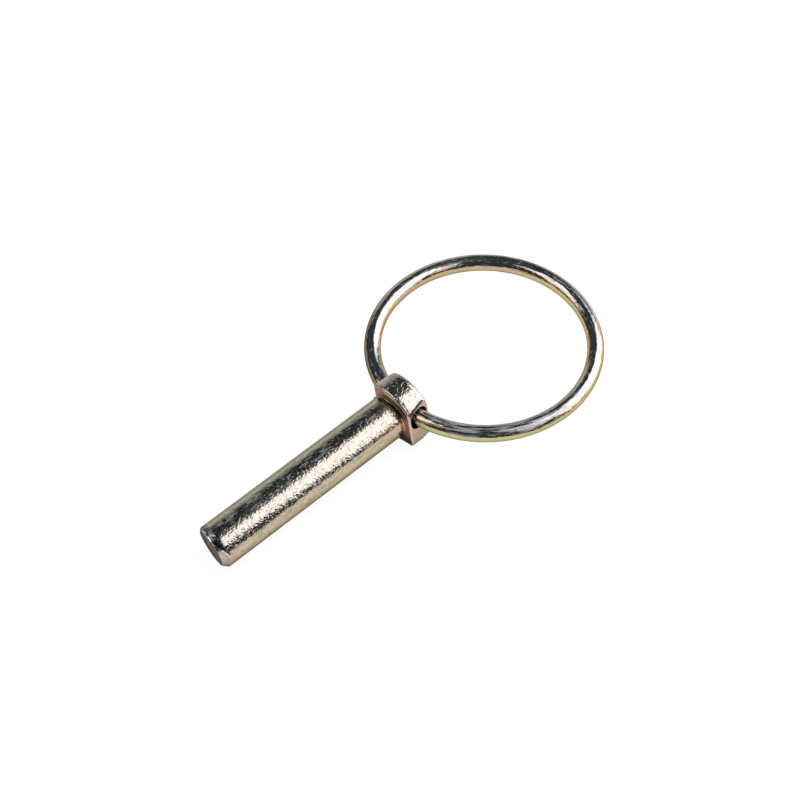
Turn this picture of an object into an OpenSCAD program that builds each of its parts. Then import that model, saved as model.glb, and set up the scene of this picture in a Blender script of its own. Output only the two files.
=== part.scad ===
// Lynch pin: a round shank with a forged head, and a sprung wire ring hinged through the head.
// The pin lies on the ground plane on the head's underside and the tip's lower edge, with the
// ring open in line with the shank. X runs along the pin from the tip to the ring, Z is up.

/* [Shank] */
// Diameter of the shank
shank_d = 10; // [8:0.5:12]
// Length from the shoulder under the head to the far end of the tip
shank_l = 50; // [40:1:70]
// Radius of the fillet between the shank and the shoulder
root_r = 0.2; // [0.1:0.1:1]

/* [Tip] */
// How far the tip's bevel comes in from the shank's surface
bevel_w = 1.3; // [0.6:0.1:2]
// Length of the tip's bevel along the shank
bevel_l = 1.5; // [0.8:0.1:3]
// Angle of the sheared end away from square
shear_angle = 10; // [0:1:12]
// Where the sheared end is longest, turned from straight up towards the right flat
shear_turn = 55; // [0:5:90]

/* [Head] */
// Diameter of the head
head_d = 16.3; // [15.2:0.1:22]
// Thickness of the head along the pin
head_l = 6; // [5.5:0.1:9]
// Radius of the rounded edge at the back of the head
crown_r = 1.5; // [0.4:0.1:2]
// Radius of the broken edge around the shoulder
edge_r = 0.35; // [0.1:0.05:0.6]

/* [Flats] */
// Distance from the shank's axis to the right flat, at the shoulder
right_flat = 7; // [6:0.1:7.5]
// Distance from the shank's axis to the left flat, at the shoulder
left_flat = 3.4; // [3:0.1:7.5]
// How far both flats lean in towards the back of the head
flat_taper = 8; // [0:1:12]
// Turn of both flats about the shank's axis, with the right one facing upwards
flat_turn = 9; // [0:1:15]
// Width of the chamfer between the shoulder and the right flat
rim_w = 0.45; // [0.2:0.05:0.6]

/* [Underside] */
// How far the head's level underside stands below the shank
under_step = 0.1; // [0.1:0.1:1.5]
// How far the facet beside it stands below the shank
facet_step = 0.5; // [0.1:0.1:1.5]
// Turn of that facet from level, towards the right flat
facet_turn = 15; // [5:1:30]

/* [Ring] */
// Thickness of the ring's wire
wire_d = 3.7; // [3:0.1:4]
// Diameter of the ring, measured at the middle of the wire
ring_d = 49; // [44:0.5:60]
// Gap between the wire's two ends, inside the head
end_gap = 2; // [1:0.5:4]

/* [Hinge] */
// Distance of the hinge line behind the middle of the head's thickness
hinge_x = 0; // [-0.1:0.05:0.1]
// Height of the hinge line above the shank's axis
hinge_z = 2.5; // [0:0.1:3]
// Play between the turning wire and the bottom of its hole
hole_play = 0.3; // [0.2:0.05:0.4]
// How far the wire hangs below the middle of its hole
hole_drop = 0.2; // [0:0.05:0.3]

/* [Hidden] */
$fn = 96;

shank_r = shank_d / 2;
head_r = head_d / 2;
wire_r = wire_d / 2;
ring_r = ring_d / 2;

// The hinge line meets the two flats at these distances to each side of the shank's axis.
hinge_line = head_l / 2 + hinge_x;
lean = hinge_line * tan(flat_taper);
mouth_right = (right_flat - lean - hinge_z * sin(flat_turn)) / cos(flat_turn);
mouth_left = (left_flat - lean + hinge_z * sin(flat_turn)) / cos(flat_turn);

// The ring is centred between the flats. Inside the head its wire bows by wire_bow, and the hinge
// line runs through the middle of that bow, so that the wire can turn in a round hole.
ring_y = (mouth_left - mouth_right) / 2;
half_span = (mouth_left + mouth_right) / 2;
wire_bow = ring_r - sqrt(ring_r * ring_r - half_span * half_span);
ring_x = hinge_line + ring_r - wire_bow / 2;
hole_r = wire_r + wire_bow / 2 + hole_play + hole_drop;

// Radius of the sheared face at its longest side, and around the rest of its edge.
face_r = shank_r - bevel_w;
shear = tan(shear_angle);
bevel = bevel_w / bevel_l;
function edge_of_face(turn) =
    min(shank_r, face_r * (1 + bevel * shear) / (1 + bevel * shear * cos(turn - shear_turn)));
function face_x(r, turn) = -shank_l + shear * (face_r - r * cos(turn - shear_turn));

// At rest the floor touches the shank where its bottom line ends, and the front of the underside.
foot_x = max(bevel_l - shank_l, face_x(shank_r, 180));
pitch = atan(under_step / -foot_x);
lift = shank_r * cos(pitch) - foot_x * sin(pitch);

// The origin is under the middle of the whole part.
tip_x = min([for (turn = [0:10:350])
    let (r = edge_of_face(turn)) face_x(r, turn) * cos(pitch) - r * cos(turn) * sin(pitch)]);
ring_end_x = ring_x * cos(pitch) - hinge_z * sin(pitch) + ring_r * cos(pitch) + wire_r;
middle_x = (tip_x + ring_end_x) / 2;

// Reaches past the head to either side, for blocks that cut part of the pin away.
past = 2 * head_d;

module at_rest() {
    translate([-middle_x, -ring_y, lift]) rotate([0, -pitch, 0]) children();
}

// What is left of a square corner outside an arc of radius r about the origin.
module corner_waste(r) {
    difference() {
        square(r + 1);
        circle(r);
    }
}

// Turns an outline with its radius along X and its length along Y about the pin's axis.
module turned() {
    rotate([0, 90, 0]) rotate_extrude() children();
}

module shank() {
    difference() {
        turned() {
            translate([0, -shank_l]) square([face_r, shank_l]);
            translate([0, bevel_l - shank_l]) square([shank_r, shank_l - bevel_l]);
            polygon([[0, -shank_l], [face_r, -shank_l], [shank_r, bevel_l - shank_l], [0, bevel_l - shank_l]]);
            difference() {
                translate([shank_r - 0.1, -root_r]) square([root_r + 0.1, root_r]);
                translate([shank_r + root_r, -root_r]) circle(root_r);
            }
        }
        rotate([shear_turn, 0, 0]) translate([-shank_l, 0, face_r]) rotate([0, -shear_angle, 0])
            translate([-past, -past, -past]) cube([past, 2 * past, 2 * past]);
    }
}

module flat_cut(distance, side) {
    translate([0, side * distance, 0]) rotate([0, 0, -side * flat_taper])
        translate([-past, side > 0 ? 0 : -past, -past]) cube([2 * past, past, 2 * past]);
}

module under_cut(distance, turn) {
    rotate([-turn, 0, 0]) translate([-past, -past, -distance - past]) cube([2 * past, 2 * past, past]);
}

module head() {
    difference() {
        turned() difference() {
            square([head_r, head_l]);
            translate([head_r - crown_r, head_l - crown_r]) corner_waste(crown_r);
            translate([head_r - edge_r, edge_r]) mirror([0, 1]) corner_waste(edge_r);
        }
        rotate([-flat_turn, 0, 0]) {
            flat_cut(right_flat, -1);
            flat_cut(left_flat, 1);
            translate([0, rim_w - right_flat, 0]) rotate([0, 0, 45])
                translate([-past, -past, -past]) cube([past, 2 * past, 2 * past]);
        }
        under_cut(shank_r + under_step, 0);
        under_cut(shank_r + facet_step, facet_turn);
    }
}

module pin() {
    color([0.72, 0.66, 0.5]) at_rest() difference() {
        union() {
            shank();
            head();
        }
        translate([hinge_line, 0, hinge_z + hole_drop]) rotate([90, 0, 0])
            cylinder(h = head_d, r = hole_r, center = true);
    }
}

module ring() {
    opening = asin(end_gap / 2 / ring_r);
    color([0.66, 0.62, 0.4]) at_rest() translate([ring_x, ring_y, hinge_z]) rotate([0, 0, 180 + opening])
        rotate_extrude(angle = 360 - 2 * opening) translate([ring_r, 0]) circle(wire_r);
}

pin();
ring();
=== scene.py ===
import math

import bpy
from mathutils import Euler, Matrix, Vector

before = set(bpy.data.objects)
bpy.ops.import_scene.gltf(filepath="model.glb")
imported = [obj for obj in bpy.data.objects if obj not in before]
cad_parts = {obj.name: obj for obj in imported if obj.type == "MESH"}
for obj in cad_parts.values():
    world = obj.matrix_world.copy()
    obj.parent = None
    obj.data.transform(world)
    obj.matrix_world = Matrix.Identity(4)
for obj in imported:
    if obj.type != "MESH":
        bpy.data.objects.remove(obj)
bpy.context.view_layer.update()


class Wire:
    # a socket that can stand in a Python sum
    def __init__(self, graph, socket):
        self.graph, self.socket = graph, socket

    def __add__(self, other):
        return self.graph.maths("ADD", self, other)

    def __radd__(self, other):
        return self.graph.maths("ADD", other, self)

    def __sub__(self, other):
        return self.graph.maths("SUBTRACT", self, other)

    def __rsub__(self, other):
        return self.graph.maths("SUBTRACT", other, self)

    def __mul__(self, other):
        return self.graph.maths("MULTIPLY", self, other)

    def __rmul__(self, other):
        return self.graph.maths("MULTIPLY", other, self)

    def __truediv__(self, other):
        return self.graph.maths("DIVIDE", self, other)

    def __pow__(self, other):
        return self.graph.maths("POWER", self, other)

    def __abs__(self):
        return self.graph.maths("ABSOLUTE", self)


class Graph:
    # the node tree of one material or world
    def __init__(self, owner):
        owner.use_nodes = True
        self.owner, self.tree = owner, owner.node_tree
        self.tree.nodes.clear()

    def add(self, kind, settings=None, sockets=(), out=0):
        # one node: its settings first, then the values or links of its sockets
        node = self.tree.nodes.new(kind)
        for name, value in (settings or {}).items():
            if name == "stops":
                self.setStops(node.color_ramp, value)
            else:
                setattr(node, name, value)
        pairs = sockets.items() if isinstance(sockets, dict) else enumerate(sockets)
        for name, value in pairs:
            socket = node.inputs[name]
            if isinstance(value, Wire):
                self.tree.links.new(value.socket, socket)
            else:
                socket.default_value = (*value, 1) if socket.type == "RGBA" else value
        return Wire(self, node.outputs[out]) if node.outputs else node

    def setStops(self, ramp, stops):
        while len(ramp.elements) < len(stops):
            ramp.elements.new(1)
        for element, (place, colour) in zip(ramp.elements, stops):
            element.position, element.color = place, (*colour, 1)

    def maths(self, operation, *values):
        return self.add("ShaderNodeMath", {"operation": operation}, values)

    def vector(self, operation, *values):
        return self.add("ShaderNodeVectorMath", {"operation": operation}, values)

    def axis(self, place, number):
        return self.add("ShaderNodeSeparateXYZ", {}, [place], number)

    def step(self, value, low, high):
        # 0 up to low, 1 from high on, smooth between; low may be the higher of the two
        return self.add("ShaderNodeMapRange", {"interpolation_type": "SMOOTHSTEP"},
                        {"Value": value, "From Min": low, "From Max": high})

    def below(self, value, low, high):
        return 1 - self.step(value, low, high)

    def band(self, value, low, full, fading, gone):
        # 0 below low, 1 from full to fading, 0 again above gone
        return self.step(value, low, full) * self.below(value, fading, gone)

    def ramp(self, value, stops):
        return self.add("ShaderNodeValToRGB", {"stops": stops}, [value])

    def mix(self, factor, first, second, blend="MIX"):
        # sockets 6, 7 and 2 are the ones for colours
        return self.add("ShaderNodeMix", {"data_type": "RGBA", "blend_type": blend, "clamp_factor": True},
                        {0: factor, 6: first, 7: second}, 2)

    def noise(self, place, scale, detail, roughness=0.5, distortion=0.0):
        return self.add("ShaderNodeTexNoise", {}, {"Vector": place, "Scale": scale, "Detail": detail,
                        "Roughness": roughness, "Distortion": distortion})


view = {
    "place": (-0.16570, -0.18524, 0.32414),
    "turn": (38.3816, 1.0405, -43.1693),  # degrees
    "lens": 84.53,
    "sensor": 36,
    "clip": (0.01, 20),
}


def makeCamera(view):
    data = bpy.data.cameras.new("camera")
    data.lens, data.sensor_width = view["lens"], view["sensor"]
    data.clip_start, data.clip_end = view["clip"]
    camera = bpy.data.objects.new("camera", data)
    camera.location = view["place"]
    camera.rotation_euler = Euler([math.radians(angle) for angle in view["turn"]])
    bpy.context.scene.collection.objects.link(camera)
    bpy.context.scene.camera = camera


makeCamera(view)
print("camera placed")


studio = {
    "floorSize": 4.0,
    "floorColour": (0.84, 0.83, 0.82),
    "paperToCamera": 0.82,  # how much of the floor is plain white paper to the camera
    "paperStrength": 1.1,
    "paperMirrored": 0.78,  # how much brighter the lit floor is in the metal than the dark floor
    "paperLeast": 0.06,  # how bright the dark floor is in it
    "paperReach": (0.052, 0.088),  # m to the right, where the lit part of the floor ends in the metal
    "paperLeft": {"between": (0.005, 0.03), "share": 0.25},  # m to the left, where it is less bright
    "paperAhead": {"between": (0.055, 0.085), "share": 0.6},  # m beyond the ring, where it is brighter
    "shadowReach": 0.0073,  # how far from a piece the floor darkens in the metal
    "shadowSamples": 8,
    "shadowLevel": 0.16,
    "roomColour": (0.036, 0.051, 0.062),
    "softSides": 5,  # how softly a backdrop ends at its sides, in degrees
    "softEnds": 0.03,  # and at its bottom and top, in sines of the elevation
    # what stands around the table, in degrees
    "backdrops": [
        {"azimuth": 31, "half": 20, "from": -90, "to": 28, "colour": (0.17, 0.19, 0.20)},
        {"azimuth": 63, "half": 15, "from": -90, "to": 28, "colour": (0.42, 0.45, 0.48)},
        {"azimuth": 62, "half": 16, "from": -90, "to": 11, "colour": (0.74, 0.79, 0.84)},
        {"azimuth": 14, "half": 38, "from": -90, "to": 7, "colour": (0.70, 0.75, 0.80)},
        {"azimuth": -38, "half": 25, "from": -90, "to": 12, "colour": (2.0, 2.1, 2.3)},
        {"azimuth": 20, "half": 30, "from": 56, "to": 74, "colour": (0.062, 0.070, 0.078)},
        {"azimuth": -92, "half": 14, "from": -30, "to": 16, "colour": (0.015, 0.015, 0.015)},
        {"azimuth": -93, "half": 9, "from": 22, "to": 64, "colour": (1.0, 1.0, 1.05)},
        {"azimuth": -55, "half": 62, "from": 66, "to": 90, "colour": (0.17, 0.18, 0.19)},
    ],
}

lamps = {
    "softbox": {"azimuth": -28.6, "elevation": 36.5, "distance": 0.6, "size": (0.85, 0.70), "roll": -15,
                "power": 3.2, "colour": (0.95, 1.0, 1.17), "mirrored": True},
    "window": {"azimuth": 142, "elevation": 44, "distance": 0.9, "size": (0.62, 0.80), "roll": 0,
               "power": 2.3, "colour": (0.95, 1.0, 1.1), "mirrored": True},
    "ceiling": {"azimuth": 0, "elevation": 90, "distance": 1.2, "size": (1.6, 1.6), "roll": 0,
                "power": 9.0, "colour": (1.0, 0.98, 0.95), "mirrored": False},
}


def makeFloor(studio):
    half = studio["floorSize"] / 2
    corners = [(-half, -half, 0), (half, -half, 0), (half, half, 0), (-half, half, 0)]
    mesh = bpy.data.meshes.new("floor")
    mesh.from_pydata(corners, [], [(0, 1, 2, 3)])
    floor = bpy.data.objects.new("floor", mesh)
    bpy.context.scene.collection.objects.link(floor)
    material = bpy.data.materials.new("floor_paper")
    graph = Graph(material)
    toCamera = graph.add("ShaderNodeLightPath", out="Is Camera Ray")
    toMetal = graph.add("ShaderNodeLightPath", out="Is Glossy Ray")
    toGlass = graph.add("ShaderNodeLightPath", out="Is Transmission Ray")
    lit = graph.add("ShaderNodeBsdfDiffuse", {}, {"Color": studio["floorColour"]})
    paper = graph.add("ShaderNodeEmission", {}, {"Color": (1, 1, 1), "Strength": studio["paperStrength"]})
    # to glossy rays the floor is an emission: a painted pool of light that ends to the right, is dimmer to
    # the left and brighter beyond the ring, with a painted shadow near the pieces
    clear = graph.add("ShaderNodeAmbientOcclusion", {"samples": studio["shadowSamples"]},
                      {"Distance": studio["shadowReach"]}, "AO")
    level = studio["shadowLevel"] + clear * (1 - studio["shadowLevel"])
    place = graph.add("ShaderNodeTexCoord", out="Object")
    ahead, across = (graph.axis(place, number) for number in (0, 1))
    left, far = studio["paperLeft"], studio["paperAhead"]
    lamplit = graph.below(0 - across, *studio["paperReach"])
    lamplit = lamplit * (1 - graph.step(across, *left["between"]) * left["share"])
    lamplit = lamplit * (1 + graph.step(ahead, *far["between"]) * far["share"])
    strength = level * lamplit * studio["paperMirrored"] + studio["paperLeast"]
    mirrored = graph.add("ShaderNodeEmission", {}, {"Color": (1, 1, 1), "Strength": strength})
    seen = graph.add("ShaderNodeMixShader", {}, [(toCamera + toGlass) * studio["paperToCamera"], lit, paper])
    surface = graph.add("ShaderNodeMixShader", {}, [toMetal, seen, mirrored])
    graph.add("ShaderNodeOutputMaterial", {}, {"Surface": surface})
    mesh.materials.append(material)


def makeLamp(name, lamp):
    data = bpy.data.lights.new(name, "AREA")
    data.shape = "RECTANGLE"
    data.size, data.size_y = lamp["size"]
    data.energy, data.color = lamp["power"], lamp["colour"]
    light = bpy.data.objects.new(name, data)
    light.visible_glossy = lamp["mirrored"]
    azimuth, elevation = math.radians(lamp["azimuth"]), math.radians(lamp["elevation"])
    side = Vector((-math.sin(azimuth), math.cos(azimuth), 0))
    way = Vector((math.cos(azimuth) * math.cos(elevation), math.sin(azimuth) * math.cos(elevation),
                  math.sin(elevation)))
    upright = Matrix((side, way.cross(side), way)).transposed()
    light.rotation_euler = (Matrix.Rotation(math.radians(lamp["roll"]), 3, way) @ upright).to_euler()
    light.location = way * lamp["distance"]
    bpy.context.scene.collection.objects.link(light)


def makeWorld(studio):
    world = bpy.data.worlds.new("studio")
    bpy.context.scene.world = world
    graph = Graph(world)
    way = graph.add("ShaderNodeTexCoord", out="Generated")
    x, y, z = (graph.axis(way, number) for number in range(3))
    across = graph.maths("MAXIMUM", x * x + y * y, 1e-6) ** 0.5  # never nought, because it divides
    room, sides, ends = studio["roomColour"], studio["softSides"], studio["softEnds"]
    for part in studio["backdrops"]:
        middle = math.radians(part["azimuth"])
        bottom, top = (math.sin(math.radians(part[name])) for name in ("from", "to"))
        between = graph.band(z, bottom - ends, bottom + ends, top - ends, top + ends)
        facing = (x * math.cos(middle) + y * math.sin(middle)) / across
        edges = [math.cos(math.radians(part["half"] + spread)) for spread in (sides, -sides)]
        room = graph.mix(graph.step(facing, *edges) * between, room, part["colour"])
    toCamera = graph.add("ShaderNodeLightPath", out="Is Camera Ray")
    seen = graph.mix(toCamera, room, (1, 1, 1))
    back = graph.add("ShaderNodeBackground", {}, {"Color": seen, "Strength": 1.0})
    graph.add("ShaderNodeOutputWorld", {}, {"Surface": back})


makeFloor(studio)
makeWorld(studio)
for name, lamp in lamps.items():
    makeLamp(name, lamp)
bpy.context.scene.view_settings.view_transform = "Standard"
print("studio lit")


mmPerMetre = 1000
pinFrame = {
    "pitch": 0.1181,  # degrees, how far the pin's head end is raised
    "place": (-1.8004, 1.4265, 5.1),  # mm, the middle of the shoulder
}
# thin rings that cross the plating's colours: the level of their noise, and how wide they are in it
tarnishRings = [
    {"level": 0.50, "width": (0.004, 0.030), "colour": (0.86, 0.80, 0.76)},
    {"level": 0.56, "width": (0.004, 0.022), "colour": (0.40, 0.33, 0.22)},
]


def pinPlace(graph):
    # millimetres along the pin from its shoulder, to its left and above its axis
    pitch = math.radians(pinFrame["pitch"])
    x, y, z = pinFrame["place"]
    moved = (-(x * math.cos(pitch) + z * math.sin(pitch)), -y,
             -(z * math.cos(pitch) - x * math.sin(pitch)))
    place = graph.add("ShaderNodeTexCoord", out="Object")
    return graph.add("ShaderNodeMapping", {"vector_type": "POINT"}, {"Vector": place, "Location": moved,
                     "Rotation": (0, pitch, 0), "Scale": [mmPerMetre] * 3})


def patches(graph, place, patch, more=0.0):
    # where a stretched noise rises above its threshold
    spots = graph.noise(graph.vector("MULTIPLY", place, patch["stretch"]), *patch["noise"])
    return graph.step(spots + more, *patch["between"])


def ragged(at, amount):
    # moves an edge in and out by up to half of this
    return (at["speck"] - 0.5) * amount


def lump(graph, place, grain):
    # height in mm: grain a little wider than a bristle mark, shallow pits and broad dents
    fine = graph.noise(place, *grain["fine"])
    broad = graph.noise(place, *grain["broad"])
    pits = graph.step(graph.noise(place, *grain["pits"]), *grain["pitted"])
    return fine * grain["fineDepth"] + pits * grain["pitDepth"] + broad * grain["broadDepth"]


def tarnish(graph, place, tones, shift=0.0):
    # drifts through the plating's colours
    drift = graph.noise(graph.vector("MULTIPLY", place, tones["stretch"]), *tones["noise"])
    colour = graph.ramp(drift + shift, tones["stops"])
    rings = graph.noise(place, *tones["ringNoise"])
    for ring in tarnishRings:
        near = graph.below(abs(rings - ring["level"]), *ring["width"])
        colour = graph.mix(near * tones["rings"], colour, ring["colour"])
    return colour


def finishPlating(graph, piece, colour, height, roughness, edgeTint):
    normal = graph.add("ShaderNodeBump", {}, {"Height": height, "Strength": 1.0, "Distance": 1 / mmPerMetre})
    shader = graph.add("ShaderNodeBsdfPrincipled", {}, {"Base Color": colour, "Metallic": 1.0,
                       "Roughness": roughness, "Specular Tint": edgeTint, "Normal": normal})
    graph.add("ShaderNodeOutputMaterial", {}, {"Surface": shader})
    piece.data.materials.clear()
    piece.data.materials.append(graph.owner)


# In the looks below, a noise is its scale, detail, roughness and distortion, as far as it needs them.
# Lengths are in mm, and angles about the shank or the wire are in radians from its top. A pair is a
# soft edge, from where it starts to where it ends. Four numbers are the two soft edges of a band.
pinLook = {
    "faces": {"shankRadius": 5, "end": -50, "bevelStart": -48.5, "faceRadius": 3.7, "headRadius": 8.15,
              "right": 7.0, "left": 3.4, "facet": 5.5,
              "shear": 10, "shearTurn": 55, "taper": 8, "turn": 9, "facetTurn": 15},  # degrees
    "tones": {"stretch": (0.45, 1.0, 1.0), "noise": (0.55, 4, 0.55, 0.6),
              "ringNoise": (0.8, 2, 0.6, 1.0), "rings": 0.45,
              "stops": [(0.38, (0.42, 0.47, 0.30)), (0.44, (0.58, 0.53, 0.30)), (0.485, (0.82, 0.56, 0.36)),
                        (0.54, (0.68, 0.52, 0.50)), (0.59, (0.56, 0.63, 0.46)), (0.65, (0.84, 0.60, 0.36))]},
    # the dark colour (0.10, 0.08, 0.07) is painted shade, and (0.97, 0.96, 0.94) is a painted highlight
    "plain": (0.67, 0.555, 0.435), "shade": (0.42, 0.36, 0.28), "soot": (0.10, 0.08, 0.07),
    "bareAndGlint": (0.97, 0.96, 0.94), "edgeTint": (0.42, 0.41, 0.36),
    "drawn": (0.7, 1.0, 1.0),  # how much the grain is stretched along the pin
    "blotch": (0.5, 3, 0.6),
    "speck": (2.2, 4, 0.7),
    "onHead": (0.02, 0.06),  # just behind the shoulder
    "darkBand": (-0.42, -0.22, 0.15, 0.34),  # the long upper side, where the dark room shows
    "scuff": {"stretch": (0.3, 1.0, 1.0), "noise": (1.1, 3, 0.6), "between": (0.50, 0.60),
              "roughness": 0.45},
    "grain": {"fine": (2.6, 1, 0.4), "fineDepth": 0.043, "pits": (1.9, 0), "pitted": (0.60, 0.72),
              "pitDepth": 0.030, "broad": (0.6, 1, 0.5), "broadDepth": 0.06},
    "calmer": 0.4,  # share of the grain left below the top
    "calmBelow": (2.2, 3.4),
    "roughness": 0.04,
    "matt": {"noise": (3.0, 1, 0.5), "between": (0.54, 0.64), "roughness": 0.32, "lessOnHead": 0.4},
    "shank": {
        "top": {"above": (2.2, 3.8), "share": 0.75},
        "left": {"between": (-3, 2), "tint": (0.90, 0.985, 0.94)},
        # painted shade: dark patches only in the band where the dark room is reflected
        "shadePatches": {"stretch": (0.45, 1.0, 1.0), "noise": (1.5, 4, 0.65), "between": (0.44, 0.58),
                "colour": (0.20, 0.21, 0.22), "share": 0.8},
        "specks": {"between": (0.5, 0.75), "share": 0.55},
    },
    # painted shade on the shank's end, then a painted reflection line, thick brown plating with painted
    # reflection bands, and a painted highlight along the rim, outwards
    "corner": {
        "from": -0.6, "to": 3.2, "ragged": 0.3,
        "swing": 0.9,  # how far these bands move outwards along their arc
        "swingAlong": (-0.15, 0.85),
        "stops": [(0.0, (0.10, 0.09, 0.08)), (0.16, (0.02, 0.018, 0.015)), (0.25, (0.03, 0.025, 0.02)),
                  (0.28, (0.98, 0.96, 0.94)), (0.33, (0.98, 0.96, 0.94)), (0.37, (0.14, 0.05, 0.01)),
                  (0.50, (0.80, 0.38, 0.07)), (0.62, (0.34, 0.13, 0.02)), (0.71, (0.80, 0.44, 0.12)),
                  (0.76, (1.0, 0.86, 0.70))],
        "arc": (-0.28, -0.12, 0.85, 0.98),
        "start": {"along": (-0.6, -0.3), "ragged": 0.6},
        "front": {"along": (-0.12, -0.04), "radius": (4.95, 5.1), "roughness": 0.38},
        "blush": {"colour": (0.64, 0.33, 0.25), "share": 0.7},
        "shadeBelow": (0.5, -3.5),
        "shoulderShade": {"along": (-1.7, -0.8), "ragged": 1.6, "around": (-0.62, -0.45, 0.05, 0.3), "share": 0.85},
    },
    "head": {
        "flatDepth": (0.02, 0.1), "barrelDepth": (0.05, 0.2), "plainShare": 0.5,
        "flat": {"colour": (0.74, 0.50, 0.38), "between": (0.3, 0.6), "share": 0.8},
        "darkerBelow": {"colour": (0.34, 0.24, 0.19), "below": (-1.5, -5), "ragged": 8, "share": 0.7},
        # the edges, each between two faces
        "edges": [("right", "barrel"), ("right", "shoulder"), ("right", "facet"),
                  ("barrel", "shoulder"), ("left", "barrel"), ("facet", "shoulder")],
        "worn": {"colour": (0.66, 0.63, 0.61), "depth": (0.12, 0.36), "ragged": 0.5, "along": (-0.3, 0)},
        # painted shade, black behind the shoulder, furthest in the middle of its arc
        "shoulderShade": {"colour": (0.015, 0.013, 0.012), "depth": (0.75, 1.1), "ragged": 1.6, "middle": 0.5,
                  "shorter": 1.2, "along": (0.3, 0.45), "broken": (0.53, 0.58), "share": 0.95},
        "besideFlat": {"depth": (0.2, 0.32), "ragged": 0.5},  # and a painted dark reflection, black, beside the right flat
        "crown": {"along": (4.8, 5.2, 5.75, 5.95), "around": (0.1, 0.3)},  # a painted highlight on the upper side of the back edge
    },
    "tip": {
        "olive": (0.24, 0.19, 0.09), "gold": (0.55, 0.45, 0.29), "brown": (0.05, 0.02, 0.01),
        "grey": (0.34, 0.36, 0.35), "bareAndGlint": (0.98, 0.97, 0.97), "lilac": (0.62, 0.55, 0.62),
        "rust": (0.82, 0.50, 0.30), "blue": (0.62, 0.70, 0.84),
        "patch": (1.1, 3, 0.6),
        "faceDepth": (0.03, 0.1), "faceRoughness": 0.25,
        "near": (0.1, 0.7), "onBevel": (-0.1, 0.1),  # from the bevel's start towards the shoulder
        "lower": {"around": (0.8, 1.2), "along": (-47.5, -46), "gold": 0.65, "rust": (0.57, 0.62),
                  "grey": (0.45, 0.55), "greyShare": 0.8, "blue": (0.38, 0.43)},
        "higher": {"around": (0.5, 1.0), "grey": (0.42, 0.56), "soot": (0.44, 0.54)},
        # the crease starts near the end, and runs back along the bevel in a curve; it has painted shade
        # beside it and a painted glint along it
        "crease": {"from": 0.33, "to": 1.2, "start": 0.12, "bend": 1.4, "reach": 1.35,
                   "around": (0.1, 0.3, 1.15, 1.3), "black": (-0.1, 0.05, 0.45, 0.8), "ragged": 0.8,
                   "line": (0.06, 0.13)},
        "face": {"lilac": (0.50, 0.72), "lilacShare": 0.6, "left": 0.8, "down": 0.5, "blotched": 3,
                 "brown": (0.5, 3.4)},
        "edge": {"depth": (0.10, 0.24), "ragged": 0.3, "along": (-48, -47.9)},
        "ridge": (-0.8, -0.4, 0.2, 0.5),
        "brownRim": (-1.5, -1.1),
    },
}


def pinPlaces(graph, look):
    # wires for where a point is on the pin, and how deep it lies inside each of its faces
    faces = look["faces"]
    place = pinPlace(graph)
    x, y, z = (graph.axis(place, number) for number in range(3))
    radial = (y * y + z * z) ** 0.5
    upper = graph.maths("ARCTAN2", 0 - y, z)  # angle from the top towards the right, in radians
    turn, taper, facetTurn, shear, shearTurn = (
        math.radians(faces[name]) for name in ("turn", "taper", "facetTurn", "shear", "shearTurn"))
    side = y * math.cos(turn) - z * math.sin(turn)
    high = z * math.cos(shearTurn) - y * math.sin(shearTurn)
    slope = (faces["shankRadius"] - faces["faceRadius"]) / (faces["bevelStart"] - faces["end"])
    inBevel = faces["shankRadius"] - radial - (faces["bevelStart"] - x) * slope
    drawn = graph.vector("MULTIPLY", place, look["drawn"])
    onHead = graph.step(x, *look["onHead"])
    return {
        "place": place, "drawn": drawn, "x": x, "y": y, "z": z, "radial": radial, "upper": upper,
        "blotch": graph.noise(drawn, *look["blotch"]),
        "speck": graph.noise(drawn, *look["speck"]),
        "onHead": onHead, "offHead": 1 - onHead,
        "darkBand": graph.band(upper, *look["darkBand"]),
        "barrel": faces["headRadius"] - radial,
        "shoulder": abs(x),
        "right": (side + faces["right"]) * math.cos(taper) - x * math.sin(taper),
        "left": (faces["left"] - side) * math.cos(taper) - x * math.sin(taper),
        "facet": y * math.sin(facetTurn) + z * math.cos(facetTurn) + faces["facet"],
        "end": (x - faces["end"] + (high - faces["faceRadius"]) * math.tan(shear)) * math.cos(shear),
        "bevel": inBevel / math.hypot(1, slope),
    }


def shankColour(graph, look, at):
    top, left, shadePatches, specks = (look["shank"][name] for name in ("top", "left", "shadePatches", "specks"))
    onTop = graph.step(at["z"], *top["above"]) * top["share"]
    colour = graph.mix(onTop, tarnish(graph, at["drawn"], look["tones"]), look["plain"])
    # painted reflection tint: the shank's left side a little darker and greener
    leftward = graph.step(at["y"], *left["between"]) * at["offHead"]
    colour = graph.mix(leftward, colour, left["tint"], "MULTIPLY")
    # painted shade: dark patches in the band where the dark room is reflected
    shadePatched = patches(graph, at["place"], shadePatches) * at["darkBand"] * shadePatches["share"]
    colour = graph.mix(shadePatched, colour, shadePatches["colour"])
    return graph.mix(graph.step(at["speck"], *specks["between"]) * specks["share"], colour, look["shade"])


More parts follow.
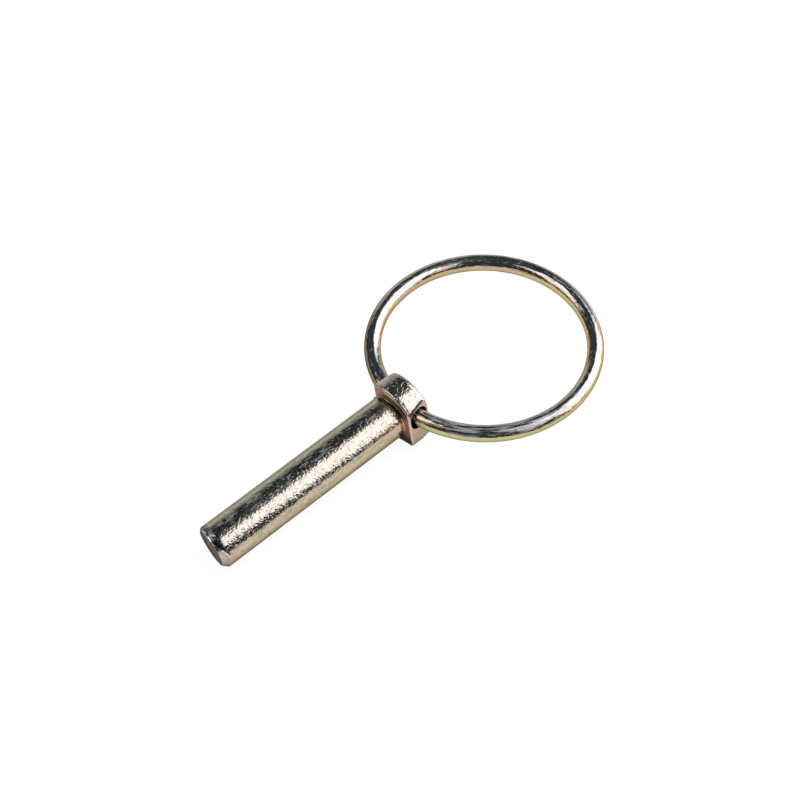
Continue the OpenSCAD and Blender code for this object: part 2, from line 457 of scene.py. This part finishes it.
def cornerColour(graph, look, at, colour):
    # the corner of the shank and the head, with its band of thick plating, painted shade and painted
    # highlights
    corner, upper, offHead = look["corner"], at["upper"], at["offHead"]
    start, face, blush, shoulderShade = (corner[name] for name in ("start", "front", "blush", "shoulderShade"))
    along = graph.step(upper, *corner["swingAlong"])
    outward = at["radial"] - look["faces"]["shankRadius"] + at["x"] + (0.5 - along) * corner["swing"]
    outward = outward + ragged(at, corner["ragged"])
    bands = graph.ramp((outward - corner["from"]) / (corner["to"] - corner["from"]), corner["stops"])
    arc = graph.band(upper, *corner["arc"])
    front = offHead * graph.step(at["x"], *face["along"]) * graph.step(at["radial"], *face["radius"])
    mottled = graph.mix(blush["share"], colour, blush["colour"])
    # painted shade: the head's front face darker towards the bottom
    shadedBelow = graph.mix(graph.step(at["z"], *corner["shadeBelow"]), mottled, look["soot"])
    colour = graph.mix(front, colour, shadedBelow)
    # painted shade on the upper side of the shank just before the shoulder
    shoulderShaded = offHead * graph.step(at["x"] + ragged(at, shoulderShade["ragged"]), *shoulderShade["along"]) * (1 - front)
    shoulderShaded = shoulderShaded * graph.band(upper, *shoulderShade["around"])
    colour = graph.mix(shoulderShaded * shoulderShade["share"], colour, look["soot"])
    # the ramp's bands: painted shade, a painted reflection line, brown plating with painted reflection
    # bands, and a painted highlight at the rim
    ringed = offHead * graph.step(at["x"] + ragged(at, start["ragged"]), *start["along"]) * arc
    return graph.mix(ringed, colour, bands), front, arc


def headColour(graph, look, at, colour, bareAndGlint):
    head = look["head"]
    flat, darkerBelow, worn, shoulderShade, beside, crown = (
        head[name] for name in ("flat", "darkerBelow", "worn", "shoulderShade", "besideFlat", "crown"))
    onFlat = graph.below(abs(at["right"]), *head["flatDepth"]) * at["onHead"]
    onBarrel = graph.below(abs(at["barrel"]), *head["barrelDepth"]) * at["onHead"]
    colour = graph.mix(onBarrel * head["plainShare"], colour, look["plain"])
    colour = graph.mix(onFlat * graph.step(at["blotch"], *flat["between"]) * flat["share"], colour,
                       flat["colour"])
    # the right flat darker towards the bottom
    darkenedBelow = onFlat * graph.step(at["z"] + ragged(at, darkerBelow["ragged"]), *darkerBelow["below"])
    colour = graph.mix(darkenedBelow * darkerBelow["share"], colour, darkerBelow["colour"])
    nearEdge = 1.0  # further in than the wear reaches
    for first, second in head["edges"]:
        depth = graph.maths("MAXIMUM", at[first], at[second])
        if (first, second) == ("right", "barrel"):
            depth = depth + onBarrel  # this edge is worn on its flat side only
        nearEdge = graph.maths("MINIMUM", nearEdge, depth)
    wear = graph.below(nearEdge + ragged(at, worn["ragged"]), *worn["depth"])
    wear = wear * graph.step(at["x"], *worn["along"])
    colour = graph.mix(wear * bareAndGlint, colour, worn["colour"])
    shorter = abs(at["upper"] - shoulderShade["middle"]) * shoulderShade["shorter"]
    shoulderShaded = graph.below(at["x"] + ragged(at, shoulderShade["ragged"]) + shorter, *shoulderShade["depth"])
    shoulderShaded = shoulderShaded * graph.step(at["x"], *shoulderShade["along"]) * graph.below(at["speck"], *shoulderShade["broken"])
    nearFlat = graph.below(at["right"] + ragged(at, beside["ragged"]), *beside["depth"])
    # a painted highlight along the upper side of the back edge
    crowned = graph.band(at["x"], *crown["along"]) * (1 - onFlat)
    crowned = crowned * graph.step(at["upper"], *crown["around"])
    colour = graph.mix(crowned, colour, look["bareAndGlint"])
    # painted shade on the barrel: black behind the shoulder, and a painted dark reflection beside the right
    # flat
    blackened = onBarrel * graph.maths("MAXIMUM", shoulderShaded, nearFlat) * shoulderShade["share"]
    return graph.mix(blackened, colour, shoulderShade["colour"])


def tipColour(graph, look, at, colour):
    # the bevel's colours and painted shade, the crease across it with a painted glint, the sheared end face,
    # and its bare edge with a painted glint on top
    tip, faces = look["tip"], look["faces"]
    x, upper, speck = at["x"], at["upper"], at["speck"]
    lower, higher, crease, face, edge = (tip[name] for name in ("lower", "higher", "crease", "face", "edge"))
    endFace = graph.below(at["end"], *tip["faceDepth"])
    nearTip, onBevel = (graph.below(x - faces["bevelStart"], *tip[name]) for name in ("near", "onBevel"))
    patch = graph.noise(at["place"], *tip["patch"])
    onLower = graph.step(upper, *lower["around"]) * graph.below(x, *lower["along"])
    colour = graph.mix(onLower * lower["gold"], colour, tip["gold"])
    colour = graph.mix(onLower * graph.step(patch, *lower["rust"]), colour, tip["rust"])
    greyed = onLower * onBevel * graph.step(speck, *lower["grey"])
    colour = graph.mix(greyed * lower["greyShare"], colour, tip["grey"])
    colour = graph.mix(onLower * graph.below(patch, *lower["blue"]), colour, tip["blue"])
    # painted shade: grey and dark specks on the upper side near the tip
    onHigher = nearTip * graph.below(upper, *higher["around"])
    colour = graph.mix(onHigher * graph.step(speck, *higher["grey"]), colour, tip["grey"])
    colour = graph.mix(onHigher * graph.below(speck, *higher["soot"]), colour, look["soot"])
    along = (upper - crease["from"]) / (crease["to"] - crease["from"])
    reach = graph.maths("MAXIMUM", along, 0) ** crease["bend"] * crease["reach"]
    beyond = x - faces["end"] - crease["start"] - reach
    creased = nearTip * graph.band(upper, *crease["around"])
    black = graph.step(beyond, *crease["black"][:2])
    black = black * graph.below(beyond + ragged(at, crease["ragged"]), *crease["black"][2:])
    # painted shade beside the crease, and a painted glint along it
    colour = graph.mix(creased * black, colour, look["soot"])
    colour = graph.mix(creased * graph.below(abs(beyond), *crease["line"]), colour, look["bareAndGlint"])
    across = at["y"] * face["left"] - at["z"] * face["down"] + (at["blotch"] - 0.5) * face["blotched"]
    shades = graph.mix(graph.step(patch, *face["lilac"]) * face["lilacShare"], tip["olive"], tip["lilac"])
    shades = graph.mix(graph.step(across, *face["brown"]), shades, tip["brown"])
    colour = graph.mix(endFace, colour, shades)
    depth = graph.maths("MAXIMUM", at["end"], at["bevel"]) + ragged(at, edge["ragged"])
    rimmed = graph.below(depth, *edge["depth"]) * graph.below(x, *edge["along"])
    # a painted glint on the top of the rim
    rim = graph.mix(graph.band(upper, *tip["ridge"]), tip["lilac"], tip["bareAndGlint"])
    rim = graph.mix(graph.below(upper, *tip["brownRim"]), rim, tip["brown"])
    return graph.mix(rimmed, colour, rim), endFace


def pinMaterial(look):
    graph = Graph(bpy.data.materials.new("pin_plating"))
    scuff, matt = look["scuff"], look["matt"]
    at = pinPlaces(graph, look)
    colour = shankColour(graph, look, at)
    colour, front, arc = cornerColour(graph, look, at, colour)
    colour = headColour(graph, look, at, colour, 1 - front * arc)
    colour, endFace = tipColour(graph, look, at, colour)
    streaks = patches(graph, at["place"], scuff) * at["darkBand"] * at["offHead"]
    dull = graph.step(graph.noise(at["drawn"], *matt["noise"]), *matt["between"])
    dull = dull * (1 - at["onHead"] * matt["lessOnHead"])
    rough = look["roughness"] + dull * matt["roughness"] + streaks * scuff["roughness"]
    rough = rough + front * look["corner"]["front"]["roughness"] + endFace * look["tip"]["faceRoughness"]
    calm = look["calmer"] + (1 - look["calmer"]) * graph.step(at["z"], *look["calmBelow"])
    height = lump(graph, at["drawn"], look["grain"]) * calm
    finishPlating(graph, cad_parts["pin"], colour, height, rough, look["edgeTint"])


ringLook = {
    "centre": (27.26, -1.43, 2.5), "radius": 24.5, "wire": 1.85,
    "drawn": 0.3,  # how much the patterns are stretched round the ring
    "tones": {"stretch": (0.5, 1.2, 1.0), "noise": (0.9, 4, 0.55, 0.6),
              "ringNoise": (1.0, 2, 0.6, 1.0), "rings": 0.3,
              "stops": [(0.36, (0.44, 0.50, 0.24)), (0.43, (0.58, 0.60, 0.34)), (0.49, (0.68, 0.50, 0.20)),
                        (0.55, (0.70, 0.42, 0.24)), (0.62, (0.66, 0.46, 0.38))]},
    "outer": (-0.9, 1.2),  # from the inner side of the wire to its outer side
    "outerShift": -0.05, "leftShift": 0.05,
    "speck": (1.2, 4, 0.7),
    # the plating's colours from the top of the wire round to its sides
    "film": {"from": 0.8, "to": 2.2, "share": 0.7, "lessInLeft": 0.7, "ragged": 0.5,
             "stops": [(0.05, (0.72, 0.38, 0.24)), (0.22, (0.84, 0.56, 0.24)), (0.38, (0.72, 0.64, 0.30)),
                       (0.56, (0.50, 0.62, 0.34)), (0.9, (0.56, 0.58, 0.38))]},
    "top": {"around": (0.55, 0.95), "colour": (0.64, 0.60, 0.52), "share": 0.85},
    # each stretch of the ring has the angle of its middle, and cosines of how far it goes from there
    "stretches": {"leftSide": {"middle": 1.6, "between": (-0.3, 0.6)},
                  "nearHead": {"middle": -2.3, "between": (0.5, 0.9)},
                  "atRight": {"middle": -0.25, "between": (0.90, 0.98)},
                  "atFarEnd": {"middle": 0.3, "between": (0.90, 0.98)},
                  "atHole": {"middle": -2.86, "between": (0.955, 0.985)}},
    "shadePatches": {"stretch": (0.5, 1.5, 1.0), "noise": (1.4, 4, 0.65), "between": (0.44, 0.58),
            "colour": (0.10, 0.10, 0.11), "nearHead": 0.5, "farEnd": 0.8, "farSide": (-0.3, 0.0)},
    "shade": {"colour": (0.24, 0.20, 0.15), "between": (0.9, 1.6), "share": 0.85},
    "scuff": {"stretch": (0.35, 1.6, 1.0), "noise": (1.3, 3, 0.6), "between": (0.50, 0.58),
              "elsewhere": 0.3, "moreNearHead": 0.035, "around": (0.9, 1.3),
              "roughness": 0.44, "colour": (0.74, 0.71, 0.69)},
    # on the right arm, beside its hole
    "tan": {"colour": (0.72, 0.52, 0.34), "around": (0.0, 0.25, 1.0, 1.3), "share": 0.8},
    "grain": {"fine": (2.4, 1, 0.4), "fineDepth": 0.022, "pits": (2.0, 0), "pitted": (0.60, 0.72),
              "pitDepth": 0.010, "broad": (0.5, 1, 0.5), "broadDepth": 0.10},
    "roughness": 0.045,
    "matt": {"noise": (2.6, 1, 0.5), "between": (0.56, 0.66), "roughness": 0.25},
    "edgeTint": (0.38, 0.34, 0.22),
}


def ringPlaces(graph, look):
    # wires for where a point is on the ring, and for the stretches that it lies in
    away = graph.vector("SUBTRACT", pinPlace(graph), look["centre"])
    x, y, z = (graph.axis(away, number) for number in range(3))
    out = (x * x + y * y) ** 0.5 - look["radius"]
    around = graph.maths("ARCTAN2", y, x)
    outward = graph.maths("ARCTAN2", out, z)  # angle from the top of the wire outwards, in radians
    place = graph.add("ShaderNodeCombineXYZ", {}, [around * (look["radius"] * look["drawn"]),
                      outward * look["wire"], 0.0])
    outer = graph.step(out, *look["outer"])
    at = {name: graph.step(graph.maths("COSINE", around - stretch["middle"]), *stretch["between"])
          for name, stretch in look["stretches"].items()}
    return {
        **at, "place": place, "out": out, "outward": outward, "fromTop": abs(outward),
        "outer": outer, "inLeft": at["leftSide"] * (1 - outer),
        "speck": graph.noise(place, *look["speck"]),
    }


def ringColour(graph, look, at):
    film, top, shadePatches, shade = (look[name] for name in ("film", "top", "shadePatches", "shade"))
    shift = at["outer"] * look["outerShift"] + at["inLeft"] * look["leftShift"]
    colour = tarnish(graph, at["place"], look["tones"], shift)
    turned = at["fromTop"] + ragged(at, film["ragged"])
    banded = graph.ramp((turned - film["from"]) / (film["to"] - film["from"]), film["stops"])
    colour = graph.mix(film["share"] * (1 - at["inLeft"] * film["lessInLeft"]), colour, banded)
    onTop = graph.below(at["fromTop"], *top["around"])
    colour = graph.mix(onTop * top["share"], colour, top["colour"])
    # painted shade: dark patches on the wire's top near the head and at the far end, where the dark room is
    # reflected
    farEnd = at["atFarEnd"] * graph.step(at["outward"], *shadePatches["farSide"])
    shadePatchShare = at["nearHead"] * shadePatches["nearHead"] + farEnd * shadePatches["farEnd"]
    colour = graph.mix(patches(graph, at["place"], shadePatches) * onTop * shadePatchShare, colour, shadePatches["colour"])
    shaded = at["leftSide"] * graph.step(at["out"], *shade["between"]) * shade["share"]
    return graph.mix(shaded, colour, shade["colour"])


def ringMaterial(look):
    graph = Graph(bpy.data.materials.new("ring_plating"))
    scuff, tan, matt = look["scuff"], look["tan"], look["matt"]
    at = ringPlaces(graph, look)
    colour = ringColour(graph, look, at)
    streaks = patches(graph, at["place"], scuff, at["nearHead"] * scuff["moreNearHead"])
    rubbed = graph.maths("MAXIMUM", at["nearHead"], at["atRight"])
    streaks = streaks * (scuff["elsewhere"] + (1 - scuff["elsewhere"]) * rubbed)
    streaks = streaks * graph.below(at["fromTop"], *scuff["around"])
    colour = graph.mix(streaks, colour, scuff["colour"])
    tanned = at["atHole"] * graph.band(at["outward"], *tan["around"]) * tan["share"]
    colour = graph.mix(tanned, colour, tan["colour"])
    dull = graph.step(graph.noise(at["place"], *matt["noise"]), *matt["between"])
    rough = look["roughness"] + dull * matt["roughness"] + streaks * scuff["roughness"]
    height = lump(graph, at["place"], look["grain"])
    finishPlating(graph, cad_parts["ring"], colour, height, rough, look["edgeTint"])


pinMaterial(pinLook)
ringMaterial(ringLook)
print("plating done")
